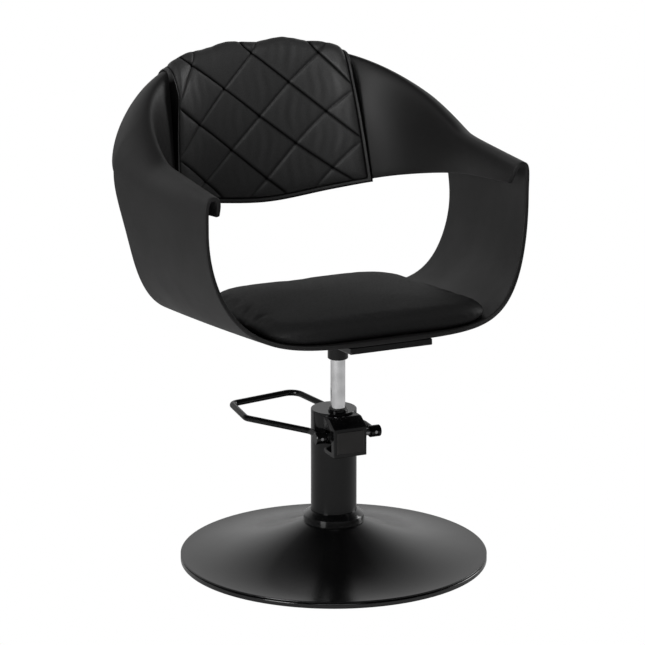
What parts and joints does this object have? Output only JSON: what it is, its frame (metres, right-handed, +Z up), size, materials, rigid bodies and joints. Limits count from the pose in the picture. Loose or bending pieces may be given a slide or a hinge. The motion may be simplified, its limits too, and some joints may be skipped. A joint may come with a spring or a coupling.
{
  "type": "hydraulic styling chair",
  "caption": "Hair salon styling chair: moulded tub shell with quilted back pad and seat cushion on a foot-pumped lift column and round floor base.",
  "frame": {"origin": "centre of the round base on the floor", "axes": "+Z up, -Y the way the sitter faces, +X to the sitter's left"},
  "size_m": [0.6974, 0.7372, 0.9245],
  "materials": {
    "cast_iron": "rough",
    "black_rim": "gloss",
    "satin_black_steel": "satin",
    "gloss_black_enamel": "gloss",
    "box_plate": "matte",
    "polished_rod": "polished",
    "plain_steel": "satin",
    "spring_steel": "satin",
    "brass": "satin",
    "black_rubber": "matte",
    "black_shell": "satin",
    "black_leatherette": "satin",
    "quilted_leatherette": "satin",
    "plywood": "matte"
  },
  "bodies": {
    "base": {"base_plate": "cast_iron", "base_rim": "black_rim", "base_cover": "satin_black_steel", "base_collar": "black_rim", "collar_screw": "plain_steel", "pump_flange": "black_rim", "flange_bolt_1": "plain_steel", "flange_bolt_2": "plain_steel", "flange_bolt_3": "plain_steel", "flange_bolt_4": "plain_steel", "pump_tube": "gloss_black_enamel", "cylinder_head": "gloss_black_enamel", "inner_cylinder": "plain_steel", "foot_valve": "brass", "rod_gland": "gloss_black_enamel", "wiper_seal": "black_rubber", "lever_box": "gloss_black_enamel", "box_cover": "box_plate", "shaft_bush": "brass", "pump_barrel": "brass", "plunger_spring": "spring_steel", "release_valve": "brass"},
    "pedal": {"foot_pedal": "gloss_black_enamel", "pedal_shaft": "plain_steel", "pedal_hub_left": "gloss_black_enamel", "pedal_hub_right": "gloss_black_enamel", "hub_screw_left": "plain_steel", "hub_screw_right": "plain_steel", "pump_finger": "plain_steel"},
    "plunger": {"pump_plunger": "plain_steel"},
    "piston": {"piston": "plain_steel", "piston_ring": "black_rubber"},
    "seat": {"piston_rod": "polished_rod", "rod_socket": "black_rim", "socket_screw": "plain_steel", "socket_gusset_left": "black_rim", "socket_gusset_right": "black_rim", "seat_bracket": "black_rim", "bracket_bolt_1": "plain_steel", "bracket_bolt_2": "plain_steel", "bracket_bolt_3": "plain_steel", "bracket_bolt_4": "plain_steel", "seat_shell": "black_shell", "seat_board": "plywood", "seat_cushion": "black_leatherette", "back_pad": "quilted_leatherette", "back_cover": "quilted_leatherette"}
  },
  "joints": [
    {"name": "lift", "type": "slide", "parent": "base", "child": "piston", "axis": [0, 0, 1], "range_m": [-0.065, 0.085]},
    {"name": "swivel", "type": "hinge", "parent": "piston", "child": "seat", "pos_m": [0, -0.019, 0.12], "axis": [0, 0, 1], "continuous": true},
    {"name": "pedal_press", "type": "hinge", "parent": "base", "child": "pedal", "pos_m": [0, -0.0475, 0.2605], "axis": [1, 0, 0], "range_deg": [-28, 0], "stiffness_Nm_per_rad": 5, "springref_deg": 34.38},
    {"name": "plunger_stroke", "type": "slide", "parent": "base", "child": "plunger", "axis": [0, 0, 1], "range_m": [-0.0142, 0], "deforming": ["plunger_spring"]}
  ],
  "couplings": [
    {"joint": "plunger_stroke", "follows": "pedal_press", "m_per_rad": 0.028}
  ]
}
